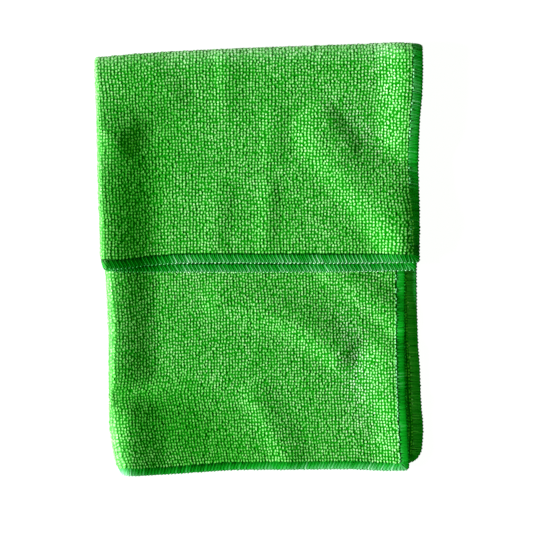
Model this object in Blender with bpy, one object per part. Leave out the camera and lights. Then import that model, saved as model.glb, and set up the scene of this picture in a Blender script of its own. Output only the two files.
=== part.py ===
"""Microfibre cloth: one square of terry knit, folded in half about its left side and then with its top third turned down over the front.

Metres, +Z up. The cloth lies flat on Z = 0, its long side along Y and the turned-down flap towards +Y.
The sheet is one back-and-forth section (front layer, left fold, back layer) swept along one back-and-forth path (lower part, top fold, flap).
Tables below are in millimetres.
"""

import math

import bmesh
import bpy
import numpy as np

# ---------------------------------------------------------------- sizes, mm
BODY_T = 2.2  # the sheet through both pile faces
HEM_T = 1.7  # the sheet at its overlocked edge
HEM_W = 5.1  # width of the overlocked edge
PITCH = 2.9  # height from one layer's middle to the next
LOOP_PROBE = 5.0  # how far in from the left fold its height is read, which sets how round its loop is
FOLD_RY = 1.2  # how much fuller the top fold is than half its height
BACK_N = BODY_T / 2  # height of the back layer's middle where it lies on the table
FRONT_N = BACK_N + PITCH  # height of the front layer's middle
TURN_Z = FRONT_N + PITCH / 2  # height of the top fold's axis
GREEN = (0.045, 0.39, 0.035)  # the pile's colour

# Grid of the solid: how many strips across each stretch
FRONT_STRIPS, LOOP_STRIPS, BACK_STRIPS = 21, 6, 19
LOWER_STRIPS, TURN_STRIPS, FLAP_STRIPS = 17, 7, 17

# Sides of the folded cloth: height up the picture, and where each side is there
LEFT_LOWER = (  # y, x of the lower part's left fold
    (-137.5, -86.6), (-134.0, -88.7), (-126.7, -91.2), (-115.3, -93.6), (-102.6, -94.8), (-84.8, -95.1), (-54.3, -95.2),
    (-23.8, -96.5), (-8.6, -97.4), (60.0, -100.5), (121.0, -104.1), (130.0, -103.5),
)
LEFT_FLAP = (  # y, x of the flap's left fold
    (-8.0, -98.5), (-4.0, -99.1), (-1.5, -99.6), (2.0, -100.3), (14.3, -100.5), (44.8, -101.6), (75.2, -102.4), (105.7, -103.1),
    (121.0, -104.1), (130.0, -103.5),
)
RIGHT_FRONT_LOWER = (  # y, x of the front layer's right edge in the lower part
    (-134.0, 96.0), (-115.3, 95.2), (-90.0, 94.0), (-55.0, 93.2), (-8.6, 93.3), (60.0, 95.9), (130.0, 98.0),
)
RIGHT_FRONT_FLAP = ((-8.0, 100.8), (12.0, 99.7), (60.0, 97.8), (130.0, 98.0))  # the same layer's right edge in the flap
RIGHT_BACK_LOWER = (  # y, x of the back layer's right edge in the lower part
    (-129.0, 103.4), (-109.0, 104.9), (-90.0, 103.5), (-70.0, 102.8), (-55.0, 101.7), (-8.6, 100.7), (60.0, 101.9), (130.0, 103.0),
)
RIGHT_BACK_FLAP = (  # the same layer's right edge in the flap
    (-3.0, 102.4), (5.0, 102.2), (25.0, 102.3), (45.0, 101.9), (62.0, 101.4), (88.0, 102.4), (104.0, 103.8), (120.0, 104.3), (130.0, 104.2),
)
# Ends of the folded cloth: distance across the picture, and how high each end is there
TOP = (  # x, y of the top fold's outer side
    (-106.0, 128.1), (-98.0, 128.5), (-86.0, 129.6), (-50.0, 132.0), (-11.0, 133.8), (27.0, 135.2), (65.0, 136.5), (88.0, 137.4),
    (95.0, 137.0), (100.0, 136.8), (104.5, 136.0),
)
END_FRONT_LOWER = (  # x, y of the front layer's bottom edge
    (-86.0, -137.5), (-79.4, -137.8), (-62.0, -137.1), (-36.8, -135.6), (-11.4, -134.2), (30.0, -134.0), (58.4, -133.8), (80.0, -134.7), (96.0, -134.6),
)
END_BACK_LOWER = ((-86.0, -137.3), (-60.0, -135.0), (0.0, -132.4), (60.0, -131.2), (104.0, -129.8))  # the back layer's bottom edge
END_BACK_FLAP = (  # x, y of the back layer's edge across the flap
    (-98.0, -6.4), (-90.0, -6.5), (-78.0, -5.4), (-66.0, -4.0), (-50.0, -2.9), (-30.0, -2.6), (0.0, -2.7), (50.0, -2.9), (102.0, -2.3),
)
END_FRONT_FLAP = ((-98.0, -7.6), (-90.0, -8.3), (-60.0, -8.4), (0.0, -8.5), (50.0, -8.3), (101.0, -7.2))  # the front layer's edge there
LOOP_CUT = 1.0  # how much shorter the flap is at the outer side of its left loop
# How far each corner of the cloth is rounded
CORNERS = {"front_lower": 2.6, "back_lower": 9.0, "front_flap": 2.6, "back_flap": 1.6}
CENTRE = (0.40, -0.45)  # the middle of the folded cloth in the tables' own measure, which becomes the origin

# Soft ridges that stand over the flat stack. Each row is one ridge: its crest from (x0, y0) to (x1, y1), how far the crest bows to the
# left of that line, its height at either end, its width on the left and on the right of the crest, and how far it runs out past its ends.
LOWER_RIDGES = (
    # x0, y0, x1, y1, bow, h0, h1, w_left, w_right, run_out
    (-90.0, -72.0, -91.0, -8.0, 0.0, 5.0, 5.2, 9.0, 29.0, 16.0),  # beside the left fold
    (-87.0, -132.0, -91.0, -102.0, 0.0, 4.6, 4.2, 9.0, 34.0, 18.0),  # the bottom left corner's fuller loop
    (-80.0, -134.0, -80.0, -106.0, 0.0, 4.6, 3.6, 16.0, 70.0, 24.0),
    (-24.0, -29.0, 50.0, -62.0, 8.0, 1.8, 2.9, 13.0, 24.0, 16.0),  # the long bowed fold
    (50.0, -9.0, 93.0, -42.0, 2.0, 1.6, 2.1, 14.0, 15.0, 14.0),
    (88.0, -62.0, 88.5, -86.0, 0.0, 4.5, 4.3, 28.0, 22.0, 16.0),
    (92.0, -98.0, 93.0, -124.0, 0.0, 4.1, 4.4, 22.0, 22.0, 14.0),
    (-2.0, -88.0, 18.0, -126.0, 0.0, 1.2, 1.6, 11.0, 19.0, 14.0),
)
FLAP_RIDGES = (
    (-98.0, -2.0, -98.5, 58.0, 0.0, 7.4, 6.0, 8.0, 38.0, 50.0),  # beside the left fold
    (-92.0, 78.0, -58.0, 104.0, 3.0, 3.4, 1.6, 60.0, 22.0, 18.0),
    (96.0, 78.0, 96.0, 142.0, 0.0, 5.0, 5.4, 23.0, 26.0, 20.0),  # beside the right edge
    (38.0, 76.0, 90.0, 14.0, 0.0, 2.8, 5.0, 19.0, 34.0, 22.0),  # the long slanting fold
    (40.0, 92.0, 56.0, 70.0, 0.0, 1.5, 1.3, 30.0, 12.0, 12.0),
    (92.0, 52.0, 92.0, 6.0, 0.0, 1.6, 2.0, 24.0, 13.0, 14.0),
    (-21.0, 128.0, -21.0, 98.0, 0.0, 0.9, 0.7, 9.0, 15.0, 14.0),
    (9.0, 88.0, 8.0, 66.0, 0.0, 0.9, 0.8, 9.0, 16.0, 14.0),
    (7.0, 42.0, 5.0, 14.0, 0.0, 1.1, 0.9, 9.0, 10.0, 14.0),
    (-24.0, 40.0, -28.0, 10.0, 0.0, 0.8, 0.7, 14.0, 12.0, 14.0),
)
LOWER_BASE, FLAP_BASE = 0.2, 1.6  # evenly added under the ridges
BLEND = (-9.0, 30.0)  # y between which the hidden front layer goes over from the lower part's relief to the flap's


def smooth(t):
    t = np.clip(t, 0.0, 1.0)
    return t * t * (3.0 - 2.0 * t)


def along(table, at):
    """A smooth curve through a table's rows (each at, value): cubic between rows, with slopes that never overshoot."""
    x = np.array([row[0] for row in table], float)
    y = np.array([row[1] for row in table], float)
    step = np.diff(x)
    rise = np.diff(y) / step
    slope = np.zeros(len(x))
    for i in range(1, len(x) - 1):
        if rise[i - 1] * rise[i] > 0:
            a, b = 2 * step[i] + step[i - 1], step[i] + 2 * step[i - 1]
            slope[i] = (a + b) / (a / rise[i - 1] + b / rise[i])
    slope[0], slope[-1] = rise[0], rise[-1]
    at = np.asarray(at, float)
    i = np.clip(np.searchsorted(x, at) - 1, 0, len(x) - 2)
    t = np.clip((at - x[i]) / step[i], 0.0, 1.0)
    t2, t3 = t * t, t * t * t
    return (2 * t3 - 3 * t2 + 1) * y[i] + (t3 - 2 * t2 + t) * step[i] * slope[i] + (3 * t2 - 2 * t3) * y[i + 1] + (t3 - t2) * step[i] * slope[i + 1]


def relief(rows, base, x, y):
    """Height added at (x, y) by a table of ridges."""
    total = np.full(np.shape(x), base, float)
    for x0, y0, x1, y1, bow, h0, h1, w_left, w_right, run_out in rows:
        dx, dy = x1 - x0, y1 - y0
        length = math.hypot(dx, dy)
        dx, dy = dx / length, dy / length
        s = (x - x0) * dx + (y - y0) * dy
        t = s / length
        side = (x - x0) * dy - (y - y0) * dx  # to the right of the crest, looking from its start to its end
        side = side + bow * 4.0 * np.clip(t, 0, 1) * (1 - np.clip(t, 0, 1))
        if dy < 0:  # left and right are the picture's, whichever way the row runs
            side = -side
        width = np.where(side < 0, w_left, w_right)
        past = np.maximum(0.0, np.maximum(-s, s - length))
        away = np.clip(np.hypot(side / width, past / run_out), 0.0, 1.0)
        total = total + (h0 + (h1 - h0) * smooth(t)) * (0.5 + 0.5 * np.cos(np.pi * away))
    return total


def heights(x, y):
    """Relief under the front layer of the lower part, and of the flap's two layers, at (x, y)."""
    lower = relief(LOWER_RIDGES, LOWER_BASE, x, np.minimum(y, BLEND[0]))
    top = relief(FLAP_RIDGES, FLAP_BASE, x, y)
    share = smooth((BLEND[1] - y) / (BLEND[1] - BLEND[0]))
    front_lower = share * np.where(y < BLEND[0], relief(LOWER_RIDGES, LOWER_BASE, x, y), lower) + (1 - share) * 0.5 * top
    gap = top - front_lower
    gap = 0.5 * (gap + np.sqrt(gap * gap + 0.8))  # never under zero
    return front_lower, front_lower + 0.5 * gap, front_lower + gap


def spaced(strips, first, last):
    """Stations from 0 to 1 in equal steps, with the first and last step cut once more where an edge needs it."""
    at = [0.0]
    if first:
        at.append(first)
    inner = strips - (1 if first else 0) - (1 if last else 0)
    lo, hi = (first or 0.0), 1.0 - (last or 0.0)
    at += [lo + (hi - lo) * i / inner for i in range(1, inner + 1)]
    if last:
        at.append(1.0)
    return at


def rounded(across, length, radius):
    """Pulls a point that is across mm from one edge and length mm from the next one in, so that the corner between them is round."""
    a, b = 1 - np.clip(across / radius, 0, 1), 1 - np.clip(length / radius, 0, 1)
    a2, b2 = a * np.sqrt(1 - b * b / 2), b * np.sqrt(1 - a * a / 2)
    near = (across < radius) & (length < radius)
    return np.where(near, (a - a2) * radius, 0.0), np.where(near, (b - b2) * radius, 0.0)


def middle(u, v, corners=True):
    """The sheet's middle surface. u runs 0 to 1 over the front layer from its right edge to the loop, 1 to 2 round the loop and 2 to 3 over the
    back layer to its right edge. v runs 0 to 1 from the bottom edge to the top fold, 1 to 2 round it and 2 to 3 down the flap to its edge."""
    phi = np.pi * np.clip(u - 1, 0, 1)
    theta = np.pi * np.clip(v - 1, 0, 1)
    front = 0.5 + 0.5 * np.cos(phi)
    flap = 0.5 - 0.5 * np.cos(theta)
    n = BACK_N + PITCH * front
    low, high = np.clip(v, 0, 1), np.clip(v - 2, 0, 1)
    y = -136.0 + 260.0 * low
    y = np.where(v > 2, 126.0 - 130.0 * high, y)
    x = np.zeros(np.shape(u + v))
    for _ in range(4):  # the sides depend on the height and the ends on the distance across, so both settle together
        left = along(LEFT_LOWER, y) * (1 - flap) + along(LEFT_FLAP, y) * flap + BODY_T / 2
        right_front = along(RIGHT_FRONT_LOWER, y) * (1 - flap) + along(RIGHT_FRONT_FLAP, y) * flap
        right_back = along(RIGHT_BACK_LOWER, y) * (1 - flap) + along(RIGHT_BACK_FLAP, y) * flap
        d_lower, d_front, d_back = heights(left + LOOP_PROBE, y)
        loop = PITCH / 2 + 0.5 * np.cos(theta) ** 2 * ((1 - flap) * d_lower + flap * (d_back - d_front))  # as wide as it is high
        x = left + loop * (1 - np.sin(phi))
        x = np.where(u < 1, right_front + (left + loop - right_front) * u, x)
        x = np.where(u > 2, left + loop + (right_back - left - loop) * (u - 2), x)
        radius = TURN_Z - n
        turn = along(TOP, x) - BODY_T / 2 - (TURN_Z - BACK_N) - FOLD_RY
        bottom = along(END_FRONT_LOWER, x) * front + along(END_BACK_LOWER, x) * (1 - front)
        end = along(END_FRONT_FLAP, x) * front + along(END_BACK_FLAP, x) * (1 - front) + LOOP_CUT * np.sin(phi) ** 2
        y = bottom + (turn - bottom) * low + (radius + FOLD_RY) * np.sin(theta)
        y = np.where(v > 2, turn + (end - turn) * high, y)
    z = np.where(v < 1, n, TURN_Z - radius * np.cos(theta))
    for name, width, run in (
        ("front_lower", np.where(u < 1, right_front - x, 99.0), np.where(v < 1, y - bottom, 99.0)),
        ("back_lower", np.where(u > 2, right_back - x, 99.0), np.where(v < 1, y - bottom, 99.0)),
        ("front_flap", np.where(u < 1, right_front - x, 99.0), np.where(v > 2, y - end, 99.0)),
        ("back_flap", np.where(u > 2, right_back - x, 99.0), np.where(v > 2, y - end, 99.0)),
    ):
        if corners:
            in_x, in_y = rounded(width, run, CORNERS[name])
            x, y = x - in_x, y + in_y
    # thickness, thinner in the overlocked edge, which lies on what is under it
    edge = np.minimum(
        np.minimum(np.where(u < 1, right_front - x, 99.0), np.where(u > 2, right_back - x, 99.0)),
        np.minimum(np.where(v < 1, y - bottom, 99.0), np.where(v > 2, y - end, 99.0)),
    )
    thick = HEM_T + (BODY_T - HEM_T) * smooth((edge - HEM_W * 0.6) / (HEM_W * 0.6))
    d_lower, d_front, d_back = heights(np.maximum(x, left + 2.0), y)
    lift = (1 - flap) * front * d_lower + flap * (front * d_front + (1 - front) * d_back)
    return x - CENTRE[0], y - CENTRE[1], z + lift + (thick - BODY_T) / 2, thick


def across_stations():
    front = [s for s in spaced(FRONT_STRIPS, 0.026, 0)]
    loop = [1 + i / LOOP_STRIPS for i in range(1, LOOP_STRIPS + 1)]
    back = [2 + s for s in spaced(BACK_STRIPS, 0, 0.025)[1:]]
    return front + loop + back


def down_stations():
    lower = spaced(LOWER_STRIPS, 0.02, 0)
    turn = [1 + i / TURN_STRIPS for i in range(1, TURN_STRIPS + 1)]
    flap = [2 + s for s in spaced(FLAP_STRIPS, 0, 0.038)[1:]]
    return lower + turn + flap


def faces_of(u, v):
    """Both faces of the sheet over a grid of stations, as arrays of points."""
    uu, vv = np.meshgrid(np.array(u), np.array(v), indexing="ij")
    step = 2e-3

    def point(a, b):
        x, y, z, _ = middle(a, b, corners=False)
        return np.stack([x, y, z], -1)

    du = point(np.minimum(uu + step, 3.0), vv) - point(np.maximum(uu - step, 0.0), vv)
    dv = point(uu, np.minimum(vv + step, 3.0)) - point(uu, np.maximum(vv - step, 0.0))
    normal = np.cross(dv, du)
    normal /= np.linalg.norm(normal, axis=-1, keepdims=True)
    x, y, z, thick = middle(uu, vv)
    mid = np.stack([x, y, z], -1)
    return mid + normal * (thick / 2)[..., None], mid - normal * (thick / 2)[..., None]


def build_cloth():
    u, v = across_stations(), down_stations()
    over, under = faces_of(u, v)
    mesh_tool = bmesh.new()
    rows, columns = len(u), len(v)
    a = [[mesh_tool.verts.new(over[i, j] * 0.001) for j in range(columns)] for i in range(rows)]
    b = [[mesh_tool.verts.new(under[i, j] * 0.001) for j in range(columns)] for i in range(rows)]
    for i in range(rows - 1):
        for j in range(columns - 1):
            mesh_tool.faces.new((a[i][j], a[i][j + 1], a[i + 1][j + 1], a[i + 1][j]))
            mesh_tool.faces.new((b[i][j], b[i + 1][j], b[i + 1][j + 1], b[i][j + 1]))
    ring = [(i, 0) for i in range(rows)] + [(rows - 1, j) for j in range(1, columns)]
    ring += [(i, columns - 1) for i in range(rows - 2, -1, -1)] + [(0, j) for j in range(columns - 2, 0, -1)]
    for k, (i, j) in enumerate(ring):
        i2, j2 = ring[(k + 1) % len(ring)]
        mesh_tool.faces.new((a[i][j], a[i2][j2], b[i2][j2], b[i][j]))
    bmesh.ops.recalc_face_normals(mesh_tool, faces=mesh_tool.faces)
    bmesh.ops.triangulate(mesh_tool, faces=mesh_tool.faces)
    data = bpy.data.meshes.new("cloth")
    mesh_tool.to_mesh(data)
    mesh_tool.free()
    cloth = bpy.data.objects.new("cloth", data)
    bpy.context.scene.collection.objects.link(cloth)
    data.shade_smooth()
    data.set_sharp_from_angle(angle=math.radians(50))
    return cloth


def green_pile():
    material = bpy.data.materials.new("microfibre")
    material.use_nodes = True
    shader = material.node_tree.nodes["Principled BSDF"]
    shader.inputs["Base Color"].default_value = (*GREEN, 1.0)
    shader.inputs["Roughness"].default_value = 0.9
    shader.inputs["Metallic"].default_value = 0.0
    return material


for old in list(bpy.data.objects):
    bpy.data.objects.remove(old, do_unlink=True)

cloth = build_cloth()
cloth.data.materials.append(green_pile())
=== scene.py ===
"""Looks of the folded microfibre cloth: the knitted ground on the sheet's folds, its loop pile, and the overlocked edge thread by thread.

Metres, +Z up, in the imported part's own frame. Tables and working sizes are in millimetres.
"""

import math

import bpy
import numpy as np
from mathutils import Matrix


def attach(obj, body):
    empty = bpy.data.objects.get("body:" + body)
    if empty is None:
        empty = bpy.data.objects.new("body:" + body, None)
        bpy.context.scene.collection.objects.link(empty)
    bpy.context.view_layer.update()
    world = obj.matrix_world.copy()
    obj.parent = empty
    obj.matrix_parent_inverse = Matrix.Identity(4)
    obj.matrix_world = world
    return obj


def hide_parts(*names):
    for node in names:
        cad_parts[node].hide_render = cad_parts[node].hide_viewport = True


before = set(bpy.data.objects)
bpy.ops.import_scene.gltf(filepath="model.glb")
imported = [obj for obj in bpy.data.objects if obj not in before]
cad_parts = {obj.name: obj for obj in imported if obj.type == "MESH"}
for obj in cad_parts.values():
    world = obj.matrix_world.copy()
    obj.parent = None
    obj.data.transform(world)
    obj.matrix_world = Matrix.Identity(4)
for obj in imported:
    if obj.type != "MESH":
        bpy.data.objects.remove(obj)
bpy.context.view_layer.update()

# ---------------------------------------------------------------- shape of the folded sheet, mm
BODY_T = 2.2  # the sheet through both pile faces
HEM_T = 1.7  # the sheet at its overlocked edge
HEM_W = 5.1  # width of the overlocked edge
PITCH = 2.9  # height from one layer's middle to the next
LOOP_PROBE = 5.0  # how far in from the left fold its height is read, which sets how round its loop is
FOLD_RY = 1.2  # how much fuller the top fold is than half its height
BACK_N = BODY_T / 2  # height of the back layer's middle where it lies on the table
FRONT_N = BACK_N + PITCH  # height of the front layer's middle
TURN_Z = FRONT_N + PITCH / 2  # height of the top fold's axis


# Sides of the folded cloth: height up the picture, and where each side is there
LEFT_LOWER = (  # y, x of the lower part's left fold
    (-137.5, -86.6), (-134.0, -88.7), (-126.7, -91.2), (-115.3, -93.6), (-102.6, -94.8), (-84.8, -95.1), (-54.3, -95.2),
    (-23.8, -96.5), (-8.6, -97.4), (60.0, -100.5), (121.0, -104.1), (130.0, -103.5),
)
LEFT_FLAP = (  # y, x of the flap's left fold
    (-8.0, -98.5), (-4.0, -99.1), (-1.5, -99.6), (2.0, -100.3), (14.3, -100.5), (44.8, -101.6), (75.2, -102.4), (105.7, -103.1),
    (121.0, -104.1), (130.0, -103.5),
)
RIGHT_FRONT_LOWER = (  # y, x of the front layer's right edge in the lower part
    (-134.0, 96.0), (-115.3, 95.2), (-90.0, 94.0), (-55.0, 93.2), (-8.6, 93.3), (60.0, 95.9), (130.0, 98.0),
)
RIGHT_FRONT_FLAP = ((-8.0, 100.8), (12.0, 99.7), (60.0, 97.8), (130.0, 98.0))  # the same layer's right edge in the flap
RIGHT_BACK_LOWER = (  # y, x of the back layer's right edge in the lower part
    (-129.0, 103.4), (-109.0, 104.9), (-90.0, 103.5), (-70.0, 102.8), (-55.0, 101.7), (-8.6, 100.7), (60.0, 101.9), (130.0, 103.0),
)
RIGHT_BACK_FLAP = (  # the same layer's right edge in the flap
    (-3.0, 102.4), (5.0, 102.2), (25.0, 102.3), (45.0, 101.9), (62.0, 101.4), (88.0, 102.4), (104.0, 103.8), (120.0, 104.3), (130.0, 104.2),
)
# Ends of the folded cloth: distance across the picture, and how high each end is there
TOP = (  # x, y of the top fold's outer side
    (-106.0, 128.1), (-98.0, 128.5), (-86.0, 129.6), (-50.0, 132.0), (-11.0, 133.8), (27.0, 135.2), (65.0, 136.5), (88.0, 137.4),
    (95.0, 137.0), (100.0, 136.8), (104.5, 136.0),
)
END_FRONT_LOWER = (  # x, y of the front layer's bottom edge
    (-86.0, -137.5), (-79.4, -137.8), (-62.0, -137.1), (-36.8, -135.6), (-11.4, -134.2), (30.0, -134.0), (58.4, -133.8), (80.0, -134.7), (96.0, -134.6),
)
END_BACK_LOWER = ((-86.0, -137.3), (-60.0, -135.0), (0.0, -132.4), (60.0, -131.2), (104.0, -129.8))  # the back layer's bottom edge
END_BACK_FLAP = (  # x, y of the back layer's edge across the flap
    (-98.0, -6.4), (-90.0, -6.5), (-78.0, -5.4), (-66.0, -4.0), (-50.0, -2.9), (-30.0, -2.6), (0.0, -2.7), (50.0, -2.9), (102.0, -2.3),
)
END_FRONT_FLAP = ((-98.0, -7.6), (-90.0, -8.3), (-60.0, -8.4), (0.0, -8.5), (50.0, -8.3), (101.0, -7.2))  # the front layer's edge there
LOOP_CUT = 1.0  # how much shorter the flap is at the outer side of its left loop
# How far each corner of the cloth is rounded
CORNERS = {"front_lower": 2.6, "back_lower": 9.0, "front_flap": 2.6, "back_flap": 1.6}
CENTRE = (0.40, -0.45)  # the middle of the folded cloth in the tables' own measure, which becomes the origin

# Soft ridges that stand over the flat stack. Each row is one ridge: its crest from (x0, y0) to (x1, y1), how far the crest bows to the
# left of that line, its height at either end, its width on the left and on the right of the crest, and how far it runs out past its ends.
LOWER_RIDGES = (
    # x0, y0, x1, y1, bow, h0, h1, w_left, w_right, run_out
    (-90.0, -72.0, -91.0, -8.0, 0.0, 5.0, 5.2, 9.0, 29.0, 16.0),  # beside the left fold
    (-87.0, -132.0, -91.0, -102.0, 0.0, 4.6, 4.2, 9.0, 34.0, 18.0),  # the bottom left corner's fuller loop
    (-80.0, -134.0, -80.0, -106.0, 0.0, 4.6, 3.6, 16.0, 70.0, 24.0),
    (-24.0, -29.0, 50.0, -62.0, 8.0, 1.8, 2.9, 13.0, 24.0, 16.0),  # the long bowed fold
    (50.0, -9.0, 93.0, -42.0, 2.0, 1.6, 2.1, 14.0, 15.0, 14.0),
    (88.0, -62.0, 88.5, -86.0, 0.0, 4.5, 4.3, 28.0, 22.0, 16.0),
    (92.0, -98.0, 93.0, -124.0, 0.0, 4.1, 4.4, 22.0, 22.0, 14.0),
    (-2.0, -88.0, 18.0, -126.0, 0.0, 1.2, 1.6, 11.0, 19.0, 14.0),
)
FLAP_RIDGES = (
    (-98.0, -2.0, -98.5, 58.0, 0.0, 7.4, 6.0, 8.0, 38.0, 50.0),  # beside the left fold
    (-92.0, 78.0, -58.0, 104.0, 3.0, 3.4, 1.6, 60.0, 22.0, 18.0),
    (96.0, 78.0, 96.0, 142.0, 0.0, 5.0, 5.4, 23.0, 26.0, 20.0),  # beside the right edge
    (38.0, 76.0, 90.0, 14.0, 0.0, 2.8, 5.0, 19.0, 34.0, 22.0),  # the long slanting fold
    (40.0, 92.0, 56.0, 70.0, 0.0, 1.5, 1.3, 30.0, 12.0, 12.0),
    (92.0, 52.0, 92.0, 6.0, 0.0, 1.6, 2.0, 24.0, 13.0, 14.0),
    (-21.0, 128.0, -21.0, 98.0, 0.0, 0.9, 0.7, 9.0, 15.0, 14.0),
    (9.0, 88.0, 8.0, 66.0, 0.0, 0.9, 0.8, 9.0, 16.0, 14.0),
    (7.0, 42.0, 5.0, 14.0, 0.0, 1.1, 0.9, 9.0, 10.0, 14.0),
    (-24.0, 40.0, -28.0, 10.0, 0.0, 0.8, 0.7, 14.0, 12.0, 14.0),
)
LOWER_BASE, FLAP_BASE = 0.2, 1.6  # evenly added under the ridges
BLEND = (-9.0, 30.0)  # y between which the hidden front layer goes over from the lower part's relief to the flap's


def smooth(t):
    t = np.clip(t, 0.0, 1.0)
    return t * t * (3.0 - 2.0 * t)


def along(table, at):
    """A smooth curve through a table's rows (each at, value): cubic between rows, with slopes that never overshoot."""
    x = np.array([row[0] for row in table], float)
    y = np.array([row[1] for row in table], float)
    step = np.diff(x)
    rise = np.diff(y) / step
    slope = np.zeros(len(x))
    for i in range(1, len(x) - 1):
        if rise[i - 1] * rise[i] > 0:
            a, b = 2 * step[i] + step[i - 1], step[i] + 2 * step[i - 1]
            slope[i] = (a + b) / (a / rise[i - 1] + b / rise[i])
    slope[0], slope[-1] = rise[0], rise[-1]
    at = np.asarray(at, float)
    i = np.clip(np.searchsorted(x, at) - 1, 0, len(x) - 2)
    t = np.clip((at - x[i]) / step[i], 0.0, 1.0)
    t2, t3 = t * t, t * t * t
    return (2 * t3 - 3 * t2 + 1) * y[i] + (t3 - 2 * t2 + t) * step[i] * slope[i] + (3 * t2 - 2 * t3) * y[i + 1] + (t3 - t2) * step[i] * slope[i + 1]


def relief(rows, base, x, y):
    """Height added at (x, y) by a table of ridges."""
    total = np.full(np.shape(x), base, float)
    for x0, y0, x1, y1, bow, h0, h1, w_left, w_right, run_out in rows:
        dx, dy = x1 - x0, y1 - y0
        length = math.hypot(dx, dy)
        dx, dy = dx / length, dy / length
        s = (x - x0) * dx + (y - y0) * dy
        t = s / length
        side = (x - x0) * dy - (y - y0) * dx  # to the right of the crest, looking from its start to its end
        side = side + bow * 4.0 * np.clip(t, 0, 1) * (1 - np.clip(t, 0, 1))
        if dy < 0:  # left and right are the picture's, whichever way the row runs
            side = -side
        width = np.where(side < 0, w_left, w_right)
        past = np.maximum(0.0, np.maximum(-s, s - length))
        away = np.clip(np.hypot(side / width, past / run_out), 0.0, 1.0)
        total = total + (h0 + (h1 - h0) * smooth(t)) * (0.5 + 0.5 * np.cos(np.pi * away))
    return total


def heights(x, y):
    """Relief under the front layer of the lower part, and of the flap's two layers, at (x, y)."""
    lower = relief(LOWER_RIDGES, LOWER_BASE, x, np.minimum(y, BLEND[0]))
    top = relief(FLAP_RIDGES, FLAP_BASE, x, y)
    share = smooth((BLEND[1] - y) / (BLEND[1] - BLEND[0]))
    front_lower = share * np.where(y < BLEND[0], relief(LOWER_RIDGES, LOWER_BASE, x, y), lower) + (1 - share) * 0.5 * top
    gap = top - front_lower
    gap = 0.5 * (gap + np.sqrt(gap * gap + 0.8))  # never under zero
    return front_lower, front_lower + 0.5 * gap, front_lower + gap


def rounded(across, length, radius):
    """Pulls a point that is across mm from one edge and length mm from the next one in, so that the corner between them is round."""
    a, b = 1 - np.clip(across / radius, 0, 1), 1 - np.clip(length / radius, 0, 1)
    a2, b2 = a * np.sqrt(1 - b * b / 2), b * np.sqrt(1 - a * a / 2)
    near = (across < radius) & (length < radius)
    return np.where(near, (a - a2) * radius, 0.0), np.where(near, (b - b2) * radius, 0.0)


def middle(u, v, corners=True):
    """The sheet's middle surface. u runs 0 to 1 over the front layer from its right edge to the loop, 1 to 2 round the loop and 2 to 3 over the
    back layer to its right edge. v runs 0 to 1 from the bottom edge to the top fold, 1 to 2 round it and 2 to 3 down the flap to its edge."""
    phi = np.pi * np.clip(u - 1, 0, 1)
    theta = np.pi * np.clip(v - 1, 0, 1)
    front = 0.5 + 0.5 * np.cos(phi)
    flap = 0.5 - 0.5 * np.cos(theta)
    n = BACK_N + PITCH * front
    low, high = np.clip(v, 0, 1), np.clip(v - 2, 0, 1)
    y = -136.0 + 260.0 * low
    y = np.where(v > 2, 126.0 - 130.0 * high, y)
    x = np.zeros(np.shape(u + v))
    for _ in range(4):  # the sides depend on the height and the ends on the distance across, so both settle together
        left = along(LEFT_LOWER, y) * (1 - flap) + along(LEFT_FLAP, y) * flap + BODY_T / 2
        right_front = along(RIGHT_FRONT_LOWER, y) * (1 - flap) + along(RIGHT_FRONT_FLAP, y) * flap
        right_back = along(RIGHT_BACK_LOWER, y) * (1 - flap) + along(RIGHT_BACK_FLAP, y) * flap
        d_lower, d_front, d_back = heights(left + LOOP_PROBE, y)
        loop = PITCH / 2 + 0.5 * np.cos(theta) ** 2 * ((1 - flap) * d_lower + flap * (d_back - d_front))  # as wide as it is high
        x = left + loop * (1 - np.sin(phi))
        x = np.where(u < 1, right_front + (left + loop - right_front) * u, x)
        x = np.where(u > 2, left + loop + (right_back - left - loop) * (u - 2), x)
        radius = TURN_Z - n
        turn = along(TOP, x) - BODY_T / 2 - (TURN_Z - BACK_N) - FOLD_RY
        bottom = along(END_FRONT_LOWER, x) * front + along(END_BACK_LOWER, x) * (1 - front)
        end = along(END_FRONT_FLAP, x) * front + along(END_BACK_FLAP, x) * (1 - front) + LOOP_CUT * np.sin(phi) ** 2
        y = bottom + (turn - bottom) * low + (radius + FOLD_RY) * np.sin(theta)
        y = np.where(v > 2, turn + (end - turn) * high, y)
    z = np.where(v < 1, n, TURN_Z - radius * np.cos(theta))
    for name, width, run in (
        ("front_lower", np.where(u < 1, right_front - x, 99.0), np.where(v < 1, y - bottom, 99.0)),
        ("back_lower", np.where(u > 2, right_back - x, 99.0), np.where(v < 1, y - bottom, 99.0)),
        ("front_flap", np.where(u < 1, right_front - x, 99.0), np.where(v > 2, y - end, 99.0)),
        ("back_flap", np.where(u > 2, right_back - x, 99.0), np.where(v > 2, y - end, 99.0)),
    ):
        if corners:
            in_x, in_y = rounded(width, run, CORNERS[name])
            x, y = x - in_x, y + in_y
    # thickness, thinner in the overlocked edge, which lies on what is under it
    edge = np.minimum(
        np.minimum(np.where(u < 1, right_front - x, 99.0), np.where(u > 2, right_back - x, 99.0)),
        np.minimum(np.where(v < 1, y - bottom, 99.0), np.where(v > 2, y - end, 99.0)),
    )
    thick = HEM_T + (BODY_T - HEM_T) * smooth((edge - HEM_W * 0.6) / (HEM_W * 0.6))
    d_lower, d_front, d_back = heights(np.maximum(x, left + 2.0), y)
    lift = (1 - flap) * front * d_lower + flap * (front * d_front + (1 - front) * d_back)
    return x - CENTRE[0], y - CENTRE[1], z + lift + (thick - BODY_T) / 2, thick


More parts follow.
